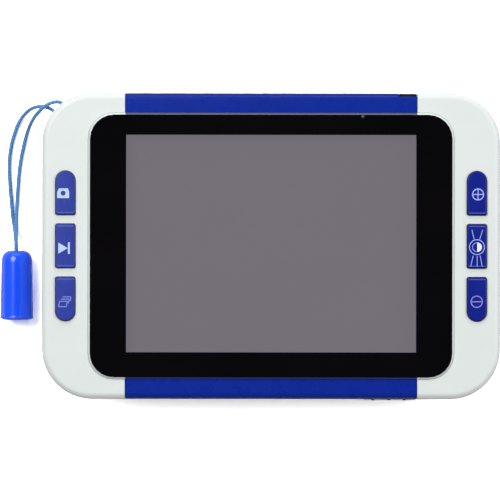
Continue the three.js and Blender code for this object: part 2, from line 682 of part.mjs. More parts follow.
place('strap_cord_upper', 'cord', cord(upperStrand));
place('strap_cord_lower', 'cord', cord(lowerStrand));

// The cap at the strap's end: a domed top with a bore for both strands, and a rim at the bottom.
const capProfile = new THREE.Path();
capProfile.moveTo(0, -CAP.length);
capProfile.lineTo(CAP.bottom - 0.3, -CAP.length);
capProfile.lineTo(CAP.bottom, 0.2 - CAP.length);
capProfile.lineTo(CAP.bottom, 0.6 - CAP.length);
capProfile.lineTo(CAP.bottom - 0.1, 0.8 - CAP.length);
capProfile.lineTo(CAP.top, -3);
capProfile.quadraticCurveTo(CAP.top, -0.3, CAP.bore, 0);
capProfile.lineTo(CAP.bore, -CAP.boreDepth);
capProfile.lineTo(0, -CAP.boreDepth);
const capTurned = new THREE.LatheGeometry(capProfile.getPoints(4), 20);
place('strap_end_cap', 'cap', solid(capTurned), [CAP.x, CAP.y, CAP.z]);

export default group;
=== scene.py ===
"""Looks for a handheld video magnifier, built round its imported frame.

Lengths are in millimetres until a mesh is made. The frame's own axes are used: +X to the right of
the screen, +Y up the screen, +Z out of it.
"""

import json
import math

import bpy
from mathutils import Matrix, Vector


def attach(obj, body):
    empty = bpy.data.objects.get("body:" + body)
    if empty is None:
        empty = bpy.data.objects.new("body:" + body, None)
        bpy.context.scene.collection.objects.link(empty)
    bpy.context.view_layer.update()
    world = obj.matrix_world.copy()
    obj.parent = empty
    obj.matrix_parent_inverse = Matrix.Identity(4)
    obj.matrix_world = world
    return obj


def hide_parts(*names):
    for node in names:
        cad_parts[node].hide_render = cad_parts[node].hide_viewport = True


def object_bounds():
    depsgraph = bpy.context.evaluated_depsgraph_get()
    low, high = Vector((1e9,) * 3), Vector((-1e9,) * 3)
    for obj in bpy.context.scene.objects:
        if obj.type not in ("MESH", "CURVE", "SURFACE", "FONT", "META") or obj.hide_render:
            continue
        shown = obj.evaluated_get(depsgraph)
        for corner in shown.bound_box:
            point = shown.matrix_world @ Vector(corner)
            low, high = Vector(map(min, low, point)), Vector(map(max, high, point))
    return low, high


MM = 0.001

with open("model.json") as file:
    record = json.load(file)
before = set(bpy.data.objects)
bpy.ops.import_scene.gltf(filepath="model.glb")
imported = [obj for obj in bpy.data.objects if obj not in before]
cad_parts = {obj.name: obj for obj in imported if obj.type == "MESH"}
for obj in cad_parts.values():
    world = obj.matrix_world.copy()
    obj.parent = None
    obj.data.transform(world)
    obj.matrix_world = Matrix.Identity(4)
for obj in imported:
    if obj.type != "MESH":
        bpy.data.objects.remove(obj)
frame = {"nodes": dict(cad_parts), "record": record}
cad_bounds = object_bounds()
nodes = frame["nodes"]

# ---------- Driving dimensions, in millimetres ----------

CAMERA_SPOT = (-5.1, -0.95, 619)
CAMERA_ROLL = 0.07           # degrees
LENS = 179

EDGE_ROUNDING = 0.12         # of the frame's sharp edges
SCREEN_SIZE = (70.08, 52.56)
SCREEN_Y = 0.6
SCREEN_PIXEL = 0.219
WINDOW_TOP = 19.1            # height of the front window's face
BELT_HALF = 35.25            # half of the belt's length along X
INDICATOR = (22.1, 31.35)    # middle of the small light in the window's border
PAGE_CAMERA_Y = 16
PAGE_CAMERA_VIEW = 4.7       # radius of the clear part of the camera's window
PAGE_WINDOW_REACH = 7.2      # radius just past that window's rim
PAGE_WINDOW_TOP = 2.1        # just above that window's inner face
LENS_RADIUS = 2.5            # of the glass in the camera's barrel
CLEAR_IOR = 1.49             # of clear plastic

KEY_X = 49.7
KEY_PITCH = 12.82
KEY_WIDTH = 4.8
KEY_LENGTH = 10.7
KEY_TOP = 19.3
KEY_LIP = 0.6                # how far the lip under the front plate stands out
KEY_LIP_TOP = 16.55
KEY_LIP_BOTTOM = 15.95
KEY_STEM = (1, 14.85)        # radius, and height of the end
KEY_EDGE = 0.35              # rounding round the top
KEY_CORNER = 0.5
KEY_CROWN = 0.05
KEY_CREASE_HIGHLIGHT = (0.55, 0.09, 2)     # painted highlight line: distance in from a straight end, half width, half length
PRINT_THICK = 0.03           # how far printed ink stands above a face, and how far it reaches below

CAP_TOP = (-62.75, -1.15, 4.16)  # middle of the end cap's upper end
CAP_LENGTH = 17
CAP_DOME = 3                 # height of the rounded upper end
CAP_RADIUS = (3.84, 4.03, 4.14)  # under the dome, above the rim, at the rim
CAP_BORE = (1.6, 2.6)        # radius and depth
CORD_RADIUS = 0.5

# The strap's two strands, from their holes in the corner to the cap, as they lie on the table.
UPPER_STRAND = [
    (-49.2, 32.6, 7), (-49.8, 33.45, 7), (-50.4, 34.2, 7), (-51.1, 34.9, 7.1), (-52, 35.35, 7.3),
    (-53.1, 35.4, 7.6), (-54.7, 34.85, 7.75), (-56.2, 33.9, 7), (-58.1, 32.2, 4.6), (-59.7, 30, 1.9),
    (-60.8, 27.2, 0.75), (-61.6, 24, 0.55), (-62.2, 20.9, 0.55), (-62.6, 17.3, 0.55), (-62.9, 13.3, 0.6),
    (-63, 10.4, 1.05), (-63.05, 8.4, 1.55), (-63.05, 6.4, 1.9), (-63, 4.4, 2.6), (-63, 2.4, 3.6),
    (-62.95, 0.6, 4.4), (-62.95, -1.4, 4.7), (-62.95, -3.4, 4.7),
]
LOWER_STRAND = [
    (-50.85, 31.05, 7), (-52.15, 32.1, 7), (-53.2, 33, 6.85), (-54.2, 33.7, 6.5), (-55.2, 34.15, 6),
    (-56.4, 34.4, 5.2), (-57.9, 34.4, 3.9), (-59.9, 33.7, 2.1), (-61.6, 32.2, 0.95), (-62.9, 30.1, 0.6),
    (-63.6, 28.1, 0.55), (-64.2, 26.3, 0.55), (-64.9, 22.1, 0.55), (-65, 19.3, 0.55), (-64.8, 15.3, 0.55),
    (-64.4, 10.4, 0.55), (-64, 6.4, 0.6), (-63.6, 4.4, 1.2), (-63.3, 2.4, 2.2), (-63.05, 0.6, 3),
    (-62.95, -1.4, 3.3), (-62.95, -3.4, 3.3),
]

# ---------- Camera ----------


def make_camera():
    data = bpy.data.cameras.new("camera")
    data.lens = LENS
    data.sensor_width = 36
    data.clip_start = 0.01
    camera = bpy.data.objects.new("camera", data)
    camera.location = Vector(CAMERA_SPOT) * MM
    camera.rotation_euler.z = math.radians(CAMERA_ROLL)
    bpy.context.scene.collection.objects.link(camera)
    bpy.context.scene.camera = camera


make_camera()

# ---------- Material tools ----------


def link_in(tree, socket, value):
    """Sets a socket to a value, or links an output into it."""
    if isinstance(value, bpy.types.NodeSocket):
        tree.links.new(value, socket)
    else:
        socket.default_value = value


def node(tree, kind, inputs=None, **settings):
    """Adds one shader node. inputs is keyed by socket name or number."""
    made = tree.nodes.new("ShaderNode" + kind)
    for name, value in settings.items():
        setattr(made, name, value)
    for key, value in (inputs or {}).items():
        link_in(tree, made.inputs[key], value)
    return made


def new_material(name):
    material = bpy.data.materials.new(name)
    material.use_nodes = True
    material.node_tree.nodes.clear()
    return material, material.node_tree


def finish_material(tree, shader):
    node(tree, "OutputMaterial", {"Surface": shader})


def srgb(red, green, blue):
    """An 8 bit screen colour as the linear colour that shaders take."""
    def linear(level):
        part = level / 255
        return part / 12.92 if part <= 0.04045 else ((part + 0.055) / 1.055) ** 2.4
    return (linear(red), linear(green), linear(blue), 1)


def scaled(color, factor):
    return tuple(min(1, part * factor) for part in color[:3]) + (1,)


def math_node(tree, operation, first, second=0.0):
    return node(tree, "Math", {0: first, 1: second}, operation=operation).outputs[0]


def place_mm(tree):
    """The point's own place on the object, in millimetres, as three outputs."""
    place = node(tree, "TexCoord").outputs["Object"]
    large = node(tree, "VectorMath", {0: place, "Scale": 1 / MM}, operation="SCALE").outputs[0]
    return node(tree, "SeparateXYZ", {0: large}).outputs


def off_from(tree, value, middle):
    """How far a value is from a middle, on either side."""
    return math_node(tree, "ABSOLUTE", math_node(tree, "SUBTRACT", value, middle))


def inside(tree, x, y, middle, half):
    """1 inside a rectangle round a middle, and 0 outside it."""
    across = math_node(tree, "LESS_THAN", off_from(tree, x, middle[0]), half[0])
    along = math_node(tree, "LESS_THAN", off_from(tree, y, middle[1]), half[1])
    return math_node(tree, "MULTIPLY", across, along)


def distance_to(tree, x, y, middle):
    dx = off_from(tree, x, middle[0])
    dy = off_from(tree, y, middle[1])
    squares = math_node(tree, "ADD", math_node(tree, "POWER", dx, 2), math_node(tree, "POWER", dy, 2))
    return math_node(tree, "SQRT", squares)


def noise(tree, size_mm, detail=3.0, roughness=0.5, stretch=(1, 1, 1)):
    """Noise over the object's own place, with features of about that size."""
    place = node(tree, "TexCoord").outputs["Object"]
    spread = node(tree, "VectorMath", {0: place, 1: stretch}, operation="MULTIPLY").outputs[0]
    made = node(tree, "TexNoise", {
        "Vector": spread, "Scale": 1 / (size_mm * MM), "Detail": detail, "Roughness": roughness,
    })
    return made.outputs["Fac"]


def cells(tree, size_mm, feature="F1"):
    """Distance to the nearest of many scattered points, or to the edges between them."""
    place = node(tree, "TexCoord").outputs["Object"]
    made = node(tree, "TexVoronoi", {"Vector": place, "Scale": 1 / (size_mm * MM)}, feature=feature)
    return made.outputs["Distance"]


def spread_range(tree, value, low, high, start=0.3, end=0.7):
    return node(tree, "MapRange", {
        "Value": value, "From Min": start, "From Max": end, "To Min": low, "To Max": high,
    }).outputs["Result"]


def mix_color(tree, factor, first, second):
    made = node(tree, "Mix", data_type="RGBA")
    link_in(tree, made.inputs["Factor"], factor)
    link_in(tree, made.inputs[6], first)
    link_in(tree, made.inputs[7], second)
    return made.outputs[2]


def mix_value(tree, factor, first, second):
    return node(tree, "Mix", {0: factor, 2: first, 3: second}).outputs[0]


def mix_shader(tree, factor, first, second):
    return node(tree, "MixShader", {0: factor, 1: first, 2: second}).outputs[0]


def bump(tree, height, depth_mm):
    return node(tree, "Bump", {"Height": height, "Distance": depth_mm * MM}).outputs["Normal"]


def attribute(tree, name):
    return node(tree, "Attribute", attribute_name=name).outputs["Fac"]


def mottled(tree, color, uneven, size_mm=9):
    """A colour with soft clouds in it, a little darker and lighter."""
    clouds = spread_range(tree, noise(tree, size_mm, detail=4), 0, 1)
    return mix_color(tree, clouds, scaled(color, 1 - uneven), scaled(color, 1 + uneven))


def mould_surface(tree, grain_mm, grain_depth, wave_depth=0.004):
    """The normal of moulded plastic: a fine grain over a very slow waviness."""
    grain = bump(tree, noise(tree, grain_mm, detail=2), grain_depth)
    waves = node(tree, "Bump", {
        "Height": noise(tree, 6, detail=1), "Distance": wave_depth * MM, "Normal": grain,
    })
    return waves.outputs["Normal"]


def smeared(tree, roughness, size_mm=4):
    """Roughness with faint smears of handling in it."""
    smear = noise(tree, size_mm, detail=5, roughness=0.65)
    return spread_range(tree, smear, roughness * 0.88, roughness * 1.15)


# ---------- Materials ----------


def plastic(name, color, roughness, specular=0.5, grain=(0.12, 0.003), uneven=0.04, more=None):
    """Moulded plastic. grain is its size and depth, and more holds any further shader inputs."""
    material, tree = new_material(name)
    shader = node(tree, "BsdfPrincipled", {
        "Base Color": mottled(tree, color, uneven),
        "Roughness": smeared(tree, roughness),
        "Specular IOR Level": specular,
        "Normal": mould_surface(tree, *grain),
        **(more or {}),
    })
    finish_material(tree, shader.outputs[0])
    return material


def belt_plastic(blue):
    """The belt's blue, with painted shade where its surface rolls over the casing's edges: darker as the
    face turns from straight up.
    """
    material, tree = new_material("blue_belt")
    normal = node(tree, "TexCoord").outputs["Normal"]
    slope = math_node(tree, "ABSOLUTE", node(tree, "SeparateXYZ", {0: normal}).outputs[2])
    # painted shade: the blue darkens with the face's slope, standing in for less light on the rolled
    # edges and side walls
    painted_roll_shade = spread_range(tree, slope, 1, 0, start=0.35, end=0.98)
    shader = node(tree, "BsdfPrincipled", {
        "Base Color": mix_color(tree, painted_roll_shade, mottled(tree, blue, 0.06), scaled(blue, 0.5)),
        "Roughness": smeared(tree, 0.28),
        "Specular IOR Level": 0.16,
        "Normal": mould_surface(tree, 0.12, 0.003),
    })
    finish_material(tree, shader.outputs[0])
    return material


def key_plastic(name, color):
    """Keys: painted shade on the rounded edge, and a painted highlight as a pale line across each
    straight end where the slope starts.
    """
    material, tree = new_material(name)
    x, y, _ = place_mm(tree)
    inset, line_half, line_reach = KEY_CREASE_HIGHLIGHT
    from_middle = math_node(tree, "PINGPONG", y, KEY_PITCH / 2)
    off_line = off_from(tree, from_middle, KEY_LENGTH / 2 - inset)
    line = math_node(tree, "LESS_THAN", off_line, line_half)
    off_column = off_from(tree, math_node(tree, "ABSOLUTE", x), KEY_X)
    across = math_node(tree, "LESS_THAN", off_column, line_reach)
    straight = math_node(tree, "LESS_THAN", math_node(tree, "ABSOLUTE", y), KEY_PITCH)
    crease_highlight = math_node(tree, "MULTIPLY", math_node(tree, "MULTIPLY", line, across), straight)
    face = mottled(tree, color, 0.05, size_mm=3)
    # painted shade darkens the keys' sides and rounded edge
    edge_shaded = mix_color(tree, attribute(tree, "edge_shade"), face, scaled(color, 0.3))
    # painted highlight: a pale line where each straight end starts to slope
    highlighted = mix_color(tree, math_node(tree, "MULTIPLY", crease_highlight, 0.45), edge_shaded, srgb(120, 130, 210))
    shader = node(tree, "BsdfPrincipled", {
        "Base Color": highlighted,
        "Roughness": smeared(tree, 0.33),
        "Specular IOR Level": 0.25,
        "Normal": mould_surface(tree, 0.1, 0.003),
    })
    finish_material(tree, shader.outputs[0])
    return material


def paint(name, color):
    """Printed ink: slightly uneven cover and a dull sheen."""
    material, tree = new_material(name)
    thin = noise(tree, 0.15, detail=4)
    shader = node(tree, "BsdfPrincipled", {
        "Base Color": mix_color(tree, spread_range(tree, thin, 0, 0.25), color, scaled(color, 0.8)),
        "Roughness": spread_range(tree, thin, 0.4, 0.55),
        "Normal": bump(tree, thin, 0.003),
    })
    finish_material(tree, shader.outputs[0])
    return material


def metal(name, color, roughness, brush=(1, 12, 12)):
    material, tree = new_material(name)
    streaks = noise(tree, 0.6, detail=5, stretch=brush)
    shader = node(tree, "BsdfPrincipled", {
        "Base Color": mix_color(tree, streaks, scaled(color, 0.8), scaled(color, 1.1)),
        "Metallic": 1.0,
        "Roughness": spread_range(tree, streaks, roughness * 0.7, roughness * 1.4),
        "Normal": bump(tree, streaks, 0.003),
    })
    finish_material(tree, shader.outputs[0])
    return material


def rubber(name, color, pore_mm=0.2):
    """Dull rubber or foam with open pores and a dusty bloom."""
    material, tree = new_material(name)
    bloom = spread_range(tree, noise(tree, 1.5, detail=6), 0, 0.3)
    pores = cells(tree, pore_mm)
    shader = node(tree, "BsdfPrincipled", {
        "Base Color": mix_color(tree, bloom, color, scaled(color, 1.8)),
        "Roughness": spread_range(tree, pores, 0.65, 0.9, start=0, end=1),
        "Specular IOR Level": 0.3,
        "Normal": bump(tree, pores, 0.02),
    })
    finish_material(tree, shader.outputs[0])
    return material


def clear_layer(tree, tint, roughness):
    """Clear glass: a tinted see-through layer whose outer face reflects more at a slant."""
    through = node(tree, "BsdfTransparent", {"Color": tint}).outputs[0]
    mirror = node(tree, "BsdfGlossy", {"Color": (1, 1, 1, 1), "Roughness": roughness}).outputs[0]
    slant = node(tree, "Fresnel", {"IOR": CLEAR_IOR}).outputs[0]
    front = math_node(tree, "SUBTRACT", 1, node(tree, "NewGeometry").outputs["Backfacing"])
    return mix_shader(tree, math_node(tree, "MULTIPLY", slant, front), through, mirror)


def window_glass():
    """The front window: clear over the picture, with black print behind its border.

    The print stops at the bevelled edge, whose colour is painted to show what lies beside it: the belt in
    the middle, and the white shell round both ends, with painted light making the upper edge paler and
    painted shade darkening the lower.
    """
    material, tree = new_material("black_window")
    x, y, z = place_mm(tree)
    half = [side / 2 for side in SCREEN_SIZE]
    clear = inside(tree, x, y, (0, SCREEN_Y), half)
    dot = spread_range(tree, distance_to(tree, x, y, INDICATOR), 1, 0, start=0.15, end=0.5)
    bevel = math_node(tree, "LESS_THAN", z, WINDOW_TOP - 0.04)
    ink = mottled(tree, srgb(5, 4, 6), 0.3, size_mm=20)
    dotted = mix_color(tree, dot, ink, srgb(78, 84, 96))
    # painted light and shade on the bevel: paler along the upper edge, dark belt blue along the lower
    lit_upper = math_node(tree, "GREATER_THAN", y, 0)
    past_belt = math_node(tree, "GREATER_THAN", math_node(tree, "ABSOLUTE", x), BELT_HALF)
    belt_light_and_shade = mix_color(tree, lit_upper, srgb(34, 48, 134), srgb(84, 84, 112))
    # painted: the bevel shows the white shell round both ends in place of what is seen through it
    painted_bevel = mix_color(tree, past_belt, belt_light_and_shade, mottled(tree, srgb(206, 212, 210), 0.02, size_mm=3))
    border = node(tree, "BsdfPrincipled", {
        "Base Color": mix_color(tree, bevel, dotted, painted_bevel),
        "Roughness": mix_value(tree, bevel, smeared(tree, 0.07, size_mm=12), 0.45),
        "Normal": mould_surface(tree, 2.5, 0.0004, wave_depth=0.001),
    }).outputs[0]
    view = clear_layer(tree, (0.93, 0.93, 0.94, 1), 0.04)
    finish_material(tree, mix_shader(tree, clear, border, view))
    return material


def screen_glass():
    """The blank, faintly lit picture: an even grey of fine square dots, with a black frame round it."""
    material, tree = new_material("lcd_glass")
    x, y, _ = place_mm(tree)
    half = [side / 2 + 0.3 for side in SCREEN_SIZE]
    picture = inside(tree, x, y, (0, SCREEN_Y), half)
    from_edge = [math_node(tree, "PINGPONG", along, SCREEN_PIXEL / 2) for along in (x, y)]
    between = [math_node(tree, "LESS_THAN", gap_shade, SCREEN_PIXEL * 0.06) for gap_shade in from_edge]
    grid = math_node(tree, "MAXIMUM", *between)
    grey = srgb(122, 117, 123)
    glow = mottled(tree, grey, 0.006, size_mm=25)
    dots = mix_color(tree, math_node(tree, "MULTIPLY", grid, 0.12), glow, scaled(grey, 0.6))
    lit = mix_color(tree, picture, (0, 0, 0, 1), dots)
    shader = node(tree, "BsdfPrincipled", {
        "Base Color": mix_color(tree, picture, srgb(10, 10, 11), srgb(30, 29, 31)),
        "Roughness": smeared(tree, 0.5),
        "Specular IOR Level": 0.1,
        "Emission Color": lit,
        "Emission Strength": 1.0,
        "Normal": bump(tree, noise(tree, 0.05, detail=1), 0.001),
    })
    finish_material(tree, shader.outputs[0])
    return material


def clear_plastic():
    """Clear moulded parts. The camera's window is thin and clear, with a black printed ring round it."""
    material, tree = new_material("clear_plastic")
    x, y, z = place_mm(tree)
    from_lens = distance_to(tree, x, y, (0, PAGE_CAMERA_Y))
    near_lens = math_node(tree, "LESS_THAN", from_lens, PAGE_WINDOW_REACH)
    below = math_node(tree, "LESS_THAN", z, PAGE_WINDOW_TOP)
    on_window = math_node(tree, "MULTIPLY", near_lens, below)
    ring = math_node(tree, "GREATER_THAN", from_lens, PAGE_CAMERA_VIEW)
    printed = node(tree, "BsdfPrincipled", {
        "Base Color": mottled(tree, srgb(12, 12, 14), 0.3, size_mm=3),
        "Roughness": smeared(tree, 0.1),
    }).outputs[0]
    solid = node(tree, "BsdfPrincipled", {
        "Base Color": mottled(tree, srgb(236, 240, 240), 0.02, size_mm=2),
        "Roughness": smeared(tree, 0.08),
        "Transmission Weight": 0.85,
        "IOR": CLEAR_IOR,
        "Normal": bump(tree, noise(tree, 0.8), 0.003),
    }).outputs[0]
    window = mix_shader(tree, ring, clear_layer(tree, (0.95, 0.96, 0.96, 1), 0.03), printed)
    finish_material(tree, mix_shader(tree, on_window, solid, window))
    return material


def lens_glass():
    """Coated camera glass in a black barrel: dark, with violet and green in its reflection."""
    material, tree = new_material("lens_glass")
    x, y, _ = place_mm(tree)
    from_lens = distance_to(tree, x, y, (0, PAGE_CAMERA_Y))
    glass = math_node(tree, "LESS_THAN", from_lens, LENS_RADIUS)
    coating = mix_color(tree, noise(tree, 1.5), srgb(96, 60, 170), srgb(60, 130, 110))
    base = mix_color(tree, glass, srgb(18, 18, 20), srgb(14, 10, 24))
    rings = math_node(tree, "SINE", math_node(tree, "MULTIPLY", from_lens, 16))
    ridged = math_node(tree, "MULTIPLY", rings, math_node(tree, "SUBTRACT", 1, glass))
    shader = node(tree, "BsdfPrincipled", {
        "Base Color": base,
        "Roughness": spread_range(tree, glass, 0.5, 0.04, start=0, end=1),
        "Specular Tint": mix_color(tree, glass, (1, 1, 1, 1), coating),
        "Coat Weight": spread_range(tree, glass, 0, 1, start=0, end=1),
        "Coat Roughness": 0.02,
        "Normal": bump(tree, ridged, 0.03),
    })
    finish_material(tree, shader.outputs[0])
    return material


def circuit_board():
    """Green solder mask with copper tracks under it and tinned dots."""
    material, tree = new_material("circuit_board")
    tracks = math_node(tree, "LESS_THAN", cells(tree, 1.6, feature="DISTANCE_TO_EDGE"), 0.07)
    pads = math_node(tree, "LESS_THAN", cells(tree, 1.1), 0.16)
    mask = mottled(tree, srgb(16, 82, 46), 0.12, size_mm=5)
    tracked = mix_color(tree, tracks, mask, srgb(46, 128, 74))
    shader = node(tree, "BsdfPrincipled", {
        "Base Color": mix_color(tree, pads, tracked, srgb(205, 205, 198)),
        "Metallic": pads,
        "Roughness": smeared(tree, 0.35),
        "Normal": bump(tree, math_node(tree, "ADD", tracks, pads), 0.03),
    })
    finish_material(tree, shader.outputs[0])
    return material


def battery_foil():
    """A flat cell in pale crinkled foil with a yellow tape across one end."""
    material, tree = new_material("battery_wrap")
    x, _, _ = place_mm(tree)
    tape = math_node(tree, "GREATER_THAN", x, 14)
    crinkles = noise(tree, 2.2, detail=6, roughness=0.6)
    foil = mix_color(tree, spread_range(tree, crinkles, 0, 1), srgb(176, 180, 184), srgb(214, 217, 220))
    shader = node(tree, "BsdfPrincipled", {
        "Base Color": mix_color(tree, tape, foil, mottled(tree, srgb(214, 170, 60), 0.06)),
        "Metallic": spread_range(tree, tape, 0.8, 0, start=0, end=1),
        "Roughness": spread_range(tree, crinkles, 0.25, 0.45),
        "Normal": bump(tree, crinkles, 0.12),
    })
    finish_material(tree, shader.outputs[0])
    return material


def braid_thread():
    """Round braided cord: two blues of thread, with painted shade between them, and fine fibres."""
    material, tree = new_material("strap_cord")
    fibres = noise(tree, 0.07, detail=3)
    threads = mix_color(tree, attribute(tree, "thread"), srgb(58, 128, 200), srgb(98, 170, 232))
    worn = mix_color(tree, spread_range(tree, fibres, 0, 0.25), threads, srgb(160, 200, 240))
    shader = node(tree, "BsdfPrincipled", {
        # painted shade in the sunken gaps between threads
        "Base Color": mix_color(tree, attribute(tree, "gap_shade"), worn, srgb(30, 66, 130)),
        "Roughness": spread_range(tree, fibres, 0.55, 0.8),
        "Sheen Weight": 0.3,
        "Sheen Roughness": 0.4,
        "Normal": bump(tree, fibres, 0.03),
    })
    finish_material(tree, shader.outputs[0])
    return material


WHITE_SHELL = plastic("white_shell", srgb(206, 212, 210), 0.4, specular=0.4, uneven=0.012)
BELT = belt_plastic(srgb(10, 37, 136))
# One key blue, painted lighter on the left as painted light and darker on the right as painted shade
LIT_LEFT_KEY = key_plastic("blue_key_left", srgb(42, 57, 146))
SHADED_RIGHT_KEY = key_plastic("blue_key_right", srgb(4, 24, 124))
WHITE_PRINT = paint("white_print", srgb(214, 224, 244))
LIGHT_PRINT = paint("light_print", srgb(176, 196, 222))
PALE_PRINT = paint("pale_print", srgb(150, 166, 232))
FAINT_PRINT = paint("faint_print", srgb(122, 128, 214))
CAP_BLUE = plastic("bright_blue_cap", srgb(20, 84, 254), 0.22, specular=0.4, grain=(0.3, 0.0006), more={
    "Coat Weight": 0.25,
    "Coat Roughness": 0.08,
    "Subsurface Weight": 0.35,
    "Subsurface Radius": (0.4, 0.8, 2),
    "Subsurface Scale": MM,
})
CORD = braid_thread()

LOOKS = {
    "white_shell": WHITE_SHELL,
    "blue_belt": BELT,
    "blue_key": LIT_LEFT_KEY,
    "black_window": window_glass(),
    "lcd_glass": screen_glass(),
    "black_foam": rubber("black_foam", srgb(26, 26, 28), pore_mm=0.35),
    "black_plastic": plastic("black_plastic", srgb(17, 17, 21), 0.42, specular=0.15),
    "grey_rubber": rubber("grey_rubber", srgb(52, 52, 55)),
    "blue_rubber": rubber("blue_rubber", srgb(22, 28, 84), pore_mm=0.1),
    "steel": metal("steel", srgb(200, 202, 206), 0.3),
    "circuit_board": circuit_board(),
    "clear_plastic": clear_plastic(),
    "lens_glass": lens_glass(),
    "battery_wrap": battery_foil(),
    "strap_cord": CORD,
    "bright_blue_cap": CAP_BLUE,
}

# ---------- Carried-over pieces ----------


def dress_nodes():
    """Every piece of the frame gets its slot's material, rounded edges and smooth faces."""
    for row in frame["record"]["subparts"]:
        piece = nodes[row["node"]]
        piece.data.materials.clear()
        piece.data.materials.append(LOOKS[row["material_slot"]])
        weld = piece.modifiers.new("weld", "WELD")
        weld.merge_threshold = 1e-6
        planar = piece.modifiers.new("planar", "DECIMATE")
        planar.decimate_type = "DISSOLVE"
        planar.angle_limit = math.radians(0.5)
        edges = piece.modifiers.new("edges", "BEVEL")
        edges.width = EDGE_ROUNDING * MM
        edges.segments = 2
        edges.limit_method = "ANGLE"
        edges.angle_limit = math.radians(40)
        normals = piece.modifiers.new("normals", "WEIGHTED_NORMAL")
        normals.weight = 80
        piece.data.polygons.foreach_set("use_smooth", [True] * len(piece.data.polygons))


dress_nodes()

# ---------- Mesh tools ----------


def add_piece(name, vertices, faces, material, slot, body="body"):
    """Makes a smooth mesh from points in millimetres, riding on a body."""
    mesh = bpy.data.meshes.new(name)
    mesh.from_pydata([Vector(vertex) * MM for vertex in vertices], [], faces)
    mesh.polygons.foreach_set("use_smooth", [True] * len(faces))
    mesh.materials.append(material)
    piece = bpy.data.objects.new(name, mesh)
    bpy.context.scene.collection.objects.link(piece)
    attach(piece, body)
    return piece


def loft(rings):
    """Joins rings of equal count, one after another, and closes both ends."""
    count = len(rings[0])
    vertices = [point for ring in rings for point in ring]
    faces = []
    for level in range(len(rings) - 1):
        low = level * count
        for i in range(count):
            j = (i + 1) % count
            faces.append((low + i, low + j, low + count + j, low + count + i))
    faces.append(tuple(reversed(range(count))))
    faces.append(tuple(range(len(vertices) - count, len(vertices))))
    return vertices, faces


def set_attribute(piece, name, values):
    layer = piece.data.attributes.new(name, "FLOAT", "POINT")
    layer.data.foreach_set("value", values)


# ---------- Wrist strap ----------


def smooth_line(points, step):
    """The centripetal curve through the points, at about equal steps."""
    spots = [Vector(point) for point in points]
    spots = [2 * spots[0] - spots[1]] + spots + [2 * spots[-1] - spots[-2]]
    line = []
    for i in range(1, len(spots) - 2):
        four = spots[i - 1:i + 3]
        times = [0.0]
        for a, b in zip(four, four[1:]):
            times.append(times[-1] + math.sqrt((b - a).length))
        count = max(1, round((four[2] - four[1]).length / step))
        for k in range(count):
            t = times[1] + (times[2] - times[1]) * k / count
            line.append(on_curve(four, times, t))
    line.append(spots[-2])
    return line


def on_curve(four, times, t):
    """One point of a Catmull-Rom curve, between the second and third of four points."""
    def between(first, second, start, end):
        return first.lerp(second, (t - start) / (end - start))
    sides = [between(four[i], four[i + 1], times[i], times[i + 1]) for i in range(3)]
    bends = [between(sides[i], sides[i + 1], times[i], times[i + 2]) for i in range(2)]
    return between(bends[0], bends[1], times[1], times[2])


def braided_cord(name, points, step=0.14, sides=20, threads=3, pitch=0.9):
    """A round tube whose surface rises over crossing threads and sinks between them."""
    line = smooth_line(points, step)
    outward = Vector((0, 0, 1))
    rings, thread_tones, gap_shade_tones = [], [], []
    length = 0.0
    for i, spot in enumerate(line):
        ahead = (line[min(i + 1, len(line) - 1)] - line[max(i - 1, 0)]).normalized()
        outward = (outward - ahead * outward.dot(ahead)).normalized()
        aside = ahead.cross(outward)
        if i:
            length += (spot - line[i - 1]).length
        ring = []
        for k in range(sides):
            angle = 2 * math.pi * k / sides
            turn = 2 * math.pi * length / pitch
            one_way = math.cos(threads * angle + turn)
            other_way = math.cos(threads * angle - turn)
            height = max(one_way, other_way, 0)
            radius = CORD_RADIUS * (0.9 + 0.1 * height)
            ring.append(spot + radius * (outward * math.cos(angle) + aside * math.sin(angle)))
            thread_tones.append(0.5 + 0.5 * math.tanh(3 * (one_way - other_way)))
            # painted shade: 1 where the surface sinks between threads
            gap_shade_tones.append(max(0, 1 - 1.6 * height))
        rings.append(ring)
    piece = add_piece(name, *loft(rings), CORD, "strap_cord")
    set_attribute(piece, "thread", thread_tones)
    set_attribute(piece, "gap_shade", gap_shade_tones)
    return piece, line, length


def turned(profile, centre, sides=72):
    """Rings round a line along Y, from (radius, height) pairs that run upwards."""
    x, y, z = centre
    rings = []
    for radius, height in profile:
        ring = []
        for k in range(sides):
            angle = 2 * math.pi * k / sides
            ring.append((x + radius * math.cos(angle), y + height, z - radius * math.sin(angle)))
        rings.append(ring)
    return rings


def make_end_cap():
    """The cap: a bulged bottom, a rim, a slightly tapered side, a dome, and the bore for the cords."""
    top, low, rim = CAP_RADIUS
    bore, depth = CAP_BORE
    profile = [(0.05, 0), (1.4, 0.02), (2.6, 0.08), (3.3, 0.17), (3.68, 0.29), (3.88, 0.45), (rim, 0.62)]
    profile += [(rim, 0.8), (rim - 0.03, 0.93), (low + 0.03, 1), (low, 1.05), (low, 1.15), (low, 1.35)]
    profile = [(radius, height - CAP_LENGTH - 0.25) for radius, height in profile]
    side_steps = 8
    for k in range(1, side_steps + 1):
        part = k / side_steps
        profile.append((low + (top - low) * part, (1.3 - CAP_LENGTH) * (1 - part) - CAP_DOME * part))
    dome_steps = 14
    for k in range(1, dome_steps + 1):
        part = k / dome_steps
        radius = (1 - part ** 2) * top + part ** 2 * (bore + 0.2)
        height = (1 - part) ** 2 * -CAP_DOME + 2 * part * (1 - part) * -0.3
        profile.append((radius, height))
    profile += [(bore + 0.08, -0.04), (bore, -0.15)]
    profile += [(bore, 0.1 - depth), (bore - 0.1, -depth), (0.05, -depth)]
    cap = add_piece("end_cap", *loft(turned(profile, CAP_TOP)), CAP_BLUE, "bright_blue_cap")
    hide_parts("strap_end_cap")
    return cap


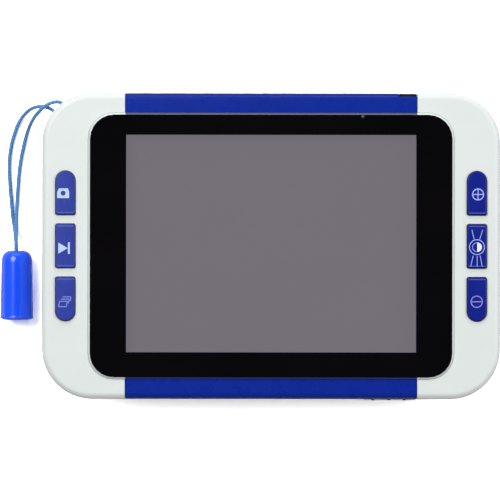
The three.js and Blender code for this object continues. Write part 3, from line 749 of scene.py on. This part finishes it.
def make_strap():
    cap = make_end_cap()
    for name, points in (("strap_cord_upper", UPPER_STRAND), ("strap_cord_lower", LOWER_STRAND)):
        piece, line, length = braided_cord(name.replace("strap", "braided"), points)
        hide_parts(name)


make_strap()

# ---------- Keys ----------


def key_outline(end, grow, arc_steps=10):
    """One key's outline about its middle. Its top or bottom end may be fully round."""
    half = KEY_WIDTH / 2 + grow
    reach = KEY_LENGTH / 2 + grow
    small = max(0.02, KEY_CORNER + grow)
    top = half if end == "top" else small
    bottom = half if end == "bottom" else small
    corners = [
        (half - top, reach - top, top), (top - half, reach - top, top),
        (bottom - half, bottom - reach, bottom), (half - bottom, bottom - reach, bottom),
    ]
    points = []
    for quarter, (x, y, radius) in enumerate(corners):
        for step in range(arc_steps + 1):
            angle = math.pi / 2 * (quarter + step / arc_steps)
            points.append((x + radius * math.cos(angle), y + radius * math.sin(angle)))
    return points


def crown_height(inset):
    """The height of a key's face at a distance in from its edge."""
    return KEY_TOP - KEY_CROWN * (1 - inset / (KEY_WIDTH / 2)) ** 2


def face_height(end, x, y):
    """The height of a key's face at a point, measured from the key's middle."""
    half = KEY_WIDTH / 2
    centre = KEY_LENGTH / 2 - half
    beyond = y - centre if end == "top" else -y - centre
    if end != "middle" and beyond > 0:
        inset = half - math.hypot(x, beyond)
    else:
        ends = {
            "top": KEY_LENGTH / 2 + y,
            "middle": KEY_LENGTH / 2 - abs(y),
            "bottom": KEY_LENGTH / 2 - y,
        }
        inset = min(half - abs(x), ends[end])
    return crown_height(max(inset, 0))


def make_key(name, side, row, end):
    middle = (side * KEY_X, KEY_PITCH * (1 - row))
    stem_radius, stem_bottom = KEY_STEM

    def ring(outline, z):
        return [(middle[0] + x, middle[1] + y, z) for x, y in outline]

    lip = key_outline(end, KEY_LIP)
    stem = [(x / math.hypot(x, y) * stem_radius, y / math.hypot(x, y) * stem_radius) for x, y in lip]
    rings = [
        ring(stem, stem_bottom),
        ring(stem, KEY_LIP_BOTTOM),
        ring(lip, KEY_LIP_BOTTOM),
        ring(lip, KEY_LIP_TOP),
        ring(key_outline(end, 0), KEY_LIP_TOP),
    ]
    # painted shade: 1 on the sides, fading to 0 across the rounded edge
    edge_shade_tones = [1] * len(rings)
    shoulder = crown_height(KEY_EDGE) - KEY_EDGE
    edge_steps = 6
    for step in range(edge_steps + 1):
        angle = math.pi / 2 * step / edge_steps
        inset = KEY_EDGE * (1 - math.cos(angle))
        rings.append(ring(key_outline(end, -inset), shoulder + KEY_EDGE * math.sin(angle)))
        edge_shade_tones.append(1 - 0.9 * step / edge_steps)
    for inset in (0.45, 0.7, 1, 1.4, 1.9, 2.4):
        rings.append(ring(key_outline(end, -inset), crown_height(inset)))
        edge_shade_tones.append(0)
    body = f"{name}_key"
    # painted light and shade: the left column's keys use the lit copy, the right column's the shaded copy
    looks = LIT_LEFT_KEY if side < 0 else SHADED_RIGHT_KEY
    piece = add_piece(f"{name}_moulding", *loft(rings), looks, "blue_key", body)
    set_attribute(piece, "edge_shade", [tone for tone in edge_shade_tones for _ in lip])
    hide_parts(body)
    return middle


# ---------- Printed signs on the keys ----------
# Each sign is a list of flat outlines about a point near its middle, which don't overlap.


def arc(x, y, radius, start, end, steps=24):
    """Points on part of a circle. Angles are in degrees."""
    points = []
    for step in range(steps + 1):
        angle = math.radians(start + (end - start) * step / steps)
        points.append((x + radius * math.cos(angle), y + radius * math.sin(angle)))
    return points


def hoop(x, y, radius, width, start=0, end=360, steps=48):
    """A circular line as short four-sided pieces."""
    outer = arc(x, y, radius + width / 2, start, end, steps)
    inner = arc(x, y, radius - width / 2, start, end, steps)
    return [[inner[i], outer[i], outer[i + 1], inner[i + 1]] for i in range(steps)]


def stroke(start, end, width):
    """A straight line with square ends."""
    along = Vector(end) - Vector(start)
    aside = Vector((-along.y, along.x)).normalized() * width / 2
    return [tuple(Vector(start) - aside), tuple(Vector(end) - aside),
            tuple(Vector(end) + aside), tuple(Vector(start) + aside)]


def camera_sign():
    """A camera seen from its front, as two halves round its lens."""
    x = -0.5
    left = [(x, -1.2)] + arc(x, 0, 0.6, -90, -270, 16)
    left += [(x, 1.15), (x - 1, 1.15), (x - 1.45, 0.25), (x - 1.45, -1.2)]
    right = [(x, 1.15)] + arc(x, 0, 0.6, 90, -90, 16)
    right += [(x, -1.2), (x + 1.45, -1.2), (x + 1.45, 0.25), (x + 1.15, 1.15)]
    return [left, right]


def play_sign():
    """A triangle that points at a bar."""
    x = -0.3
    triangle = [(x - 1.35, -1.33), (x + 0.93, 0), (x - 1.35, 1.33)]
    return [triangle, stroke((x + 1.2, -1.4), (x + 1.2, 1.4), 0.48)]


def cards_sign():
    """Three cards, each behind the last and further up to the right."""
    x, y, line = -0.3, -0.1, 0.22
    front = [(x - 1.5, y - 1.2), (x + 0.4, y - 1.2), (x + 0.7, y + 0.1), (x - 1.2, y + 0.1)]
    strokes = [stroke(front[i], front[(i + 1) % 4], line) for i in range(4)]
    for shift in (0.5, 1):
        left, top, right = x - 1.2 + shift * 0.75, y + 0.1 + shift * 1.05, x + 0.7 + shift * 0.85
        strokes.append(stroke((left, top), (right, top), line))
        strokes.append(stroke((right, top - line / 2), (right - 0.3, top - 1.05), line))
    return strokes


def plus_sign():
    x, reach = 0.35, 1.18
    lines = [((x - reach, 0), (x + reach, 0)), ((x, 0.12), (x, reach)), ((x, -reach), (x, -0.12))]
    return hoop(x, 0, 1.32, 0.28) + [stroke(start, end, 0.24) for start, end in lines]


def minus_sign():
    x = 0.15
    return hoop(x, 0, 1.36, 0.25) + [stroke((x - 1.23, 0), (x + 1.23, 0), 0.25)]


def contrast_rings():
    """The outline of a disc in a ring, with rays above and below it."""
    x = 0.2
    rays = [
        ((-0.68, 1.86), (-1.23, 4.2)), ((0.65, 1.86), (1.38, 4.2)), ((-0.92, -2.05), (-1.5, -4.7)),
        ((0.05, -2.17), (0.05, -4.7)), ((0.77, -2.05), (1.26, -4.7)),
    ]
    lines = [stroke((x + a, b), (x + c, d), 0.17) for (a, b), (c, d) in rays]
    return hoop(x, 0, 1.8, 0.2) + hoop(x, 0, 1.08, 0.14, 92, 268, 24) + lines


def half_disc_sign():
    """The filled right half of the disc between the rays."""
    return [arc(0.25, 0, 1.15, -90, 90)]


def print_sign(name, body, middle, place, end, outlines, ink):
    """Raises thin ink from a key's face, following its crown.

    The sign's place is measured from the key's middle.
    """
    vertices, faces = [], []
    for outline in outlines:
        start = len(vertices)
        count = len(outline)
        for lift in (-PRINT_THICK, PRINT_THICK):
            for along, up in outline:
                x, y = place[0] + along, place[1] + up
                vertices.append((middle[0] + x, middle[1] + y, face_height(end, x, y) + lift))
        faces.append(tuple(reversed(range(start, start + count))))
        faces.append(tuple(range(start + count, start + 2 * count)))
        for i in range(count):
            j = (i + 1) % count
            faces.append((start + i, start + j, start + count + j, start + count + i))
    sign = add_piece(name, vertices, faces, ink, "white_shell", body)
    sign.data.polygons.foreach_set("use_smooth", [False] * len(faces))


def make_keys():
    ends = ("top", "middle", "bottom")
    columns = {
        -1: ("snapshot", "playback", "gallery"),
        1: ("zoom_in", "contrast", "zoom_out"),
    }
    prints = {
        "snapshot": ((0, -0.1), [(camera_sign, LIGHT_PRINT)]),
        "playback": ((0, -0.55), [(play_sign, LIGHT_PRINT)]),
        "gallery": ((0.2, -0.55), [(cards_sign, FAINT_PRINT)]),
        "zoom_in": ((-0.15, -0.3), [(plus_sign, PALE_PRINT)]),
        "contrast": ((-0.25, -0.2), [(contrast_rings, PALE_PRINT), (half_disc_sign, WHITE_PRINT)]),
        "zoom_out": ((-0.25, -0.55), [(minus_sign, FAINT_PRINT)]),
    }
    for side, names in columns.items():
        for row, name in enumerate(names):
            middle = make_key(name, side, row, ends[row])
            place, signs = prints[name]
            for sign, ink in signs:
                sign_name = f"{name}_{sign.__name__}"
                print_sign(sign_name, f"{name}_key", middle, place, ends[row], sign(), ink)


make_keys()

# ---------- Floor and light ----------


def make_floor():
    """A large sheet of white paper: it looks overexposed, but it lights the object like paper."""
    mesh = bpy.data.meshes.new("floor")
    half = 3                 # metres
    corners = [(-half, -half, 0), (half, -half, 0), (half, half, 0), (-half, half, 0)]
    mesh.from_pydata(corners, [], [(0, 1, 2, 3)])
    floor = bpy.data.objects.new("floor", mesh)
    floor.location.z = cad_bounds[0][2] - 0.0001
    bpy.context.scene.collection.objects.link(floor)
    material, tree = new_material("floor_paper")
    paper = mix_color(tree, noise(tree, 30), (0.8, 0.8, 0.8, 1), (0.83, 0.83, 0.83, 1))
    overexposed = mix_color(tree, noise(tree, 30), (3.0, 2.9, 2.78, 1), (3.1, 3.0, 2.88, 1))
    seen = node(tree, "LightPath").outputs["Is Camera Ray"]
    shader = node(tree, "BsdfDiffuse", {"Color": mix_color(tree, seen, paper, overexposed)})
    finish_material(tree, shader.outputs[0])
    mesh.materials.append(material)


def softbox(name, place, size, watts):
    """A rectangular white light that faces the object. Its place and size are in metres."""
    data = bpy.data.lights.new(name, "AREA")
    data.shape = "RECTANGLE"
    data.size, data.size_y = size
    data.energy = watts
    light = bpy.data.objects.new(name, data)
    light.location = place
    direction = Vector((0, 0, 0)) - Vector(place)
    light.rotation_euler = direction.to_track_quat("-Z", "Y").to_euler()
    bpy.context.scene.collection.objects.link(light)


def make_world():
    """A studio that is dark straight overhead and pale towards its walls."""
    world = bpy.data.worlds.new("studio")
    world.use_nodes = True
    tree = world.node_tree
    tree.nodes.clear()
    direction = node(tree, "TexCoord").outputs["Generated"]
    height = node(tree, "SeparateXYZ", {0: direction}).outputs[2]
    level = spread_range(tree, height, 0.22, 0.03, start=0.75, end=0.97)
    background = node(tree, "Background", {"Color": (1, 1, 1, 1), "Strength": level})
    node(tree, "OutputWorld", {"Surface": background.outputs[0]})
    bpy.context.scene.world = world


make_floor()
softbox("main_light", (-0.5, 0.4, 0.95), (0.6, 0.6), 9.9)
softbox("back_strip", (0, 1.2, 0.6), (1.8, 0.35), 7.5)
softbox("right_light", (0.85, 0.1, 0.85), (0.7, 0.7), 7.5)
make_world()
bpy.context.scene.view_settings.view_transform = "Standard"
